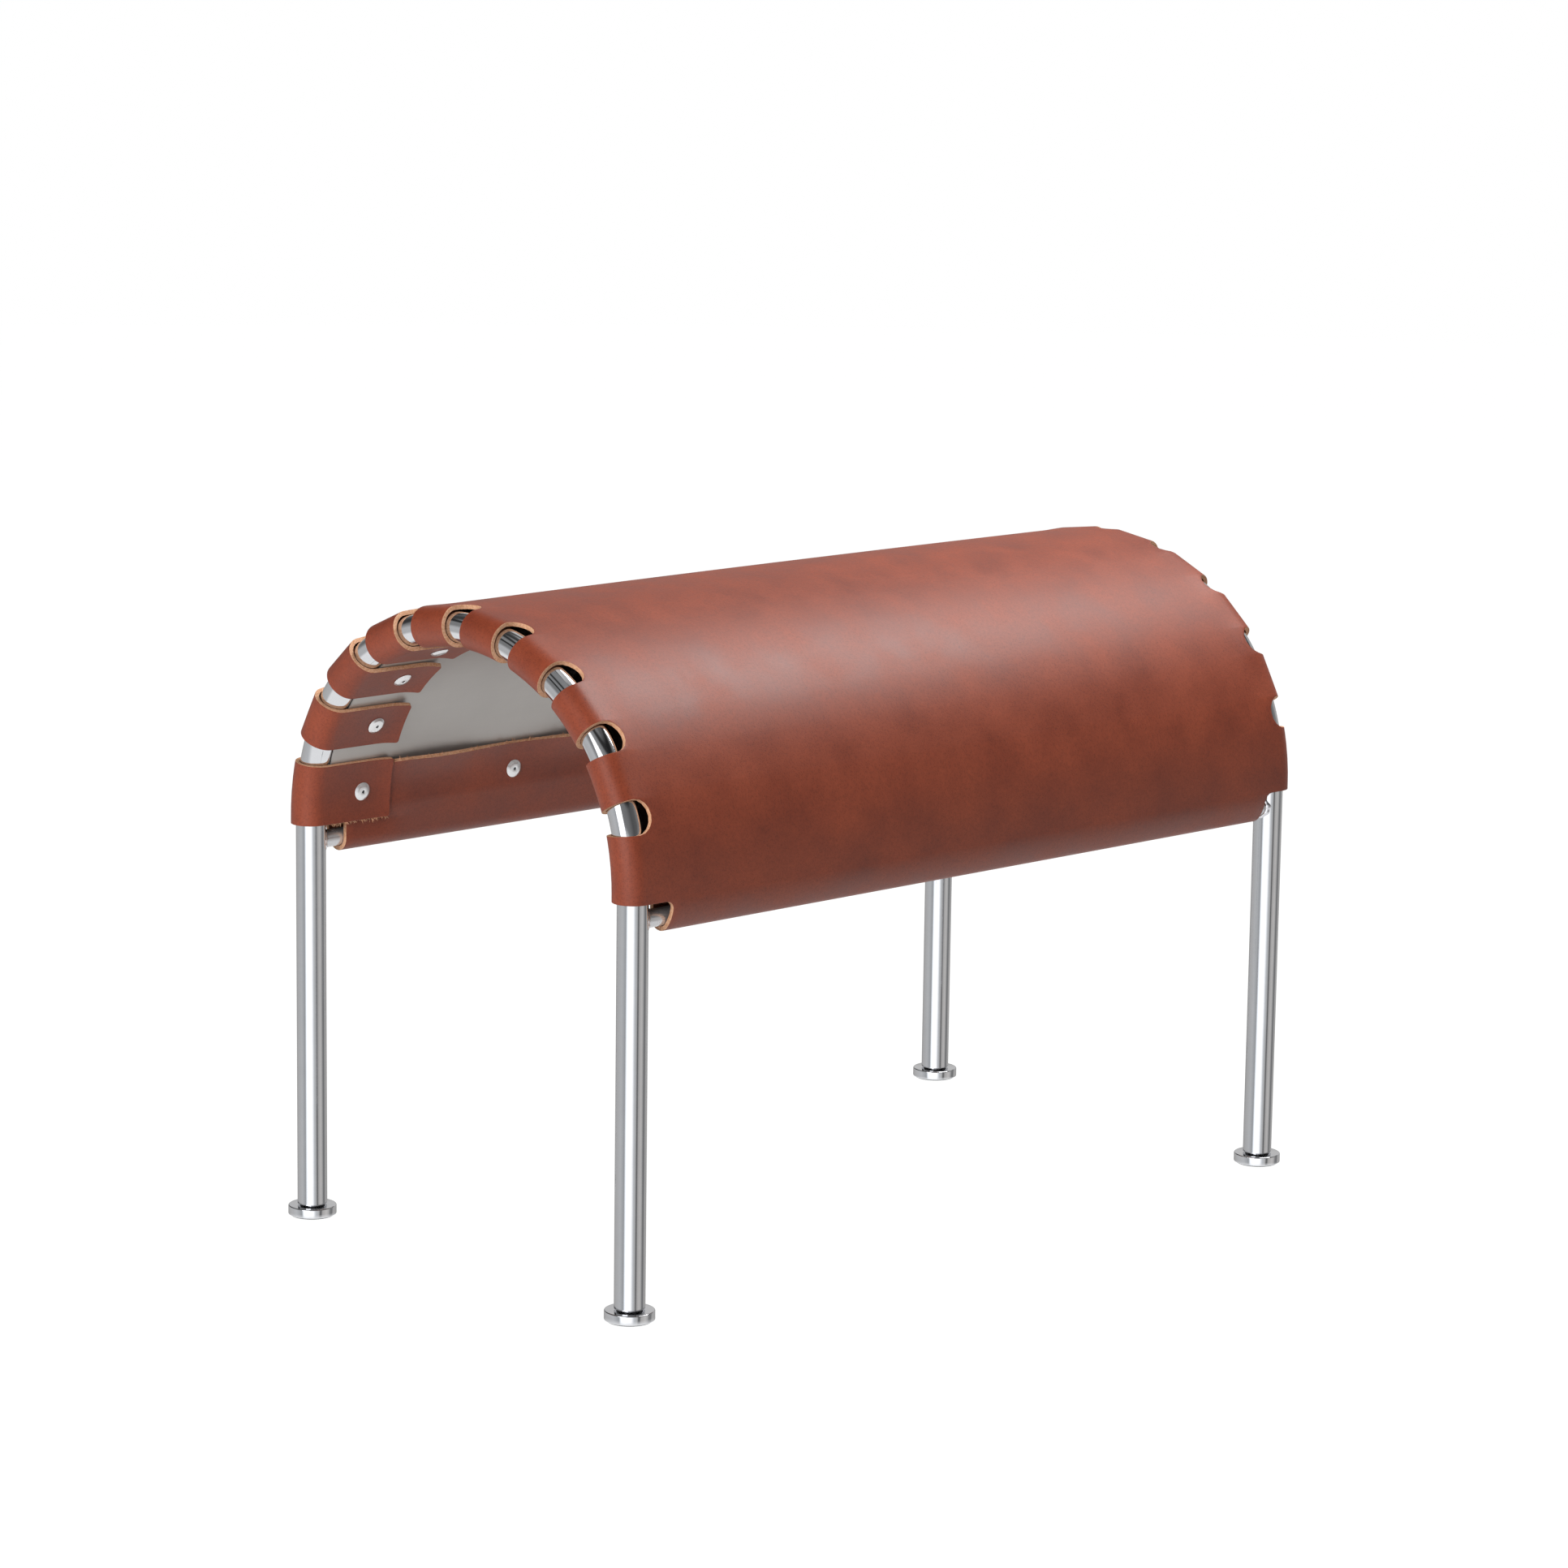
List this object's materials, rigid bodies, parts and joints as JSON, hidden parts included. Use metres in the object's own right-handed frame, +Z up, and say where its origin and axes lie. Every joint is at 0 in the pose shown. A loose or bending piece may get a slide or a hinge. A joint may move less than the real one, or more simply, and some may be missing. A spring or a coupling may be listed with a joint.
{
  "type": "footstool",
  "caption": "Tunnel-shaped footstool: a leather cover hooked by riveted straps over two bent chrome hoops, with a metal liner and levelling feet.",
  "frame": {"origin": "floor centre: on the floor plane, midway between the four legs", "axes": "+X along the tunnel under the seat, from the near hoop to the far one; +Y across, towards the left legs; +Z up"},
  "size_m": [0.6244, 0.3564, 0.4344],
  "materials": {
    "saddle_leather": "smooth waxed saddle leather, semi-gloss, raw edges",
    "liner_steel": "satin sheet",
    "chrome_tube": "polished plating",
    "weld_chrome": "plated over the weld",
    "rivet_steel": "polished head",
    "rivet_pin_steel": "sheared pin, dull",
    "insert_nylon": "black plug",
    "foot_chrome": "mirror polished top",
    "stud_steel": "zinc plated",
    "glide_plastic": "grey glide"
  },
  "bodies": {
    "root": {"leather_cover": "saddle_leather", "liner": "liner_steel", "hoop_near": "chrome_tube", "hoop_far": "chrome_tube", "rail_left": "chrome_tube", "rail_right": "chrome_tube", "rail_welds": "weld_chrome", "strap_rivets_near": "rivet_steel", "strap_rivet_pins_near": "rivet_pin_steel", "strap_rivets_far": "rivet_steel", "strap_rivet_pins_far": "rivet_pin_steel", "flap_rivets_left": "rivet_steel", "flap_rivet_pins_left": "rivet_pin_steel", "flap_rivets_right": "rivet_steel", "flap_rivet_pins_right": "rivet_pin_steel", "leg_insert_near_left": "insert_nylon", "leg_insert_near_right": "insert_nylon", "leg_insert_far_left": "insert_nylon", "leg_insert_far_right": "insert_nylon"},
    "foot_near_left": {"foot_disc_near_left": "foot_chrome", "foot_stud_near_left": "stud_steel", "foot_glide_near_left": "glide_plastic"},
    "foot_near_right": {"foot_disc_near_right": "foot_chrome", "foot_stud_near_right": "stud_steel", "foot_glide_near_right": "glide_plastic"},
    "foot_far_left": {"foot_disc_far_left": "foot_chrome", "foot_stud_far_left": "stud_steel", "foot_glide_far_left": "glide_plastic"},
    "foot_far_right": {"foot_disc_far_right": "foot_chrome", "foot_stud_far_right": "stud_steel", "foot_glide_far_right": "glide_plastic"}
  },
  "joints": [
    {"name": "foot_near_left_height", "type": "slide", "parent": "root", "child": "foot_near_left", "axis": [0, 0, -1], "range_m": [0, 0.006]},
    {"name": "foot_near_right_height", "type": "slide", "parent": "root", "child": "foot_near_right", "axis": [0, 0, -1], "range_m": [0, 0.006]},
    {"name": "foot_far_left_height", "type": "slide", "parent": "root", "child": "foot_far_left", "axis": [0, 0, -1], "range_m": [0, 0.006]},
    {"name": "foot_far_right_height", "type": "slide", "parent": "root", "child": "foot_far_right", "axis": [0, 0, -1], "range_m": [0, 0.006]}
  ]
}
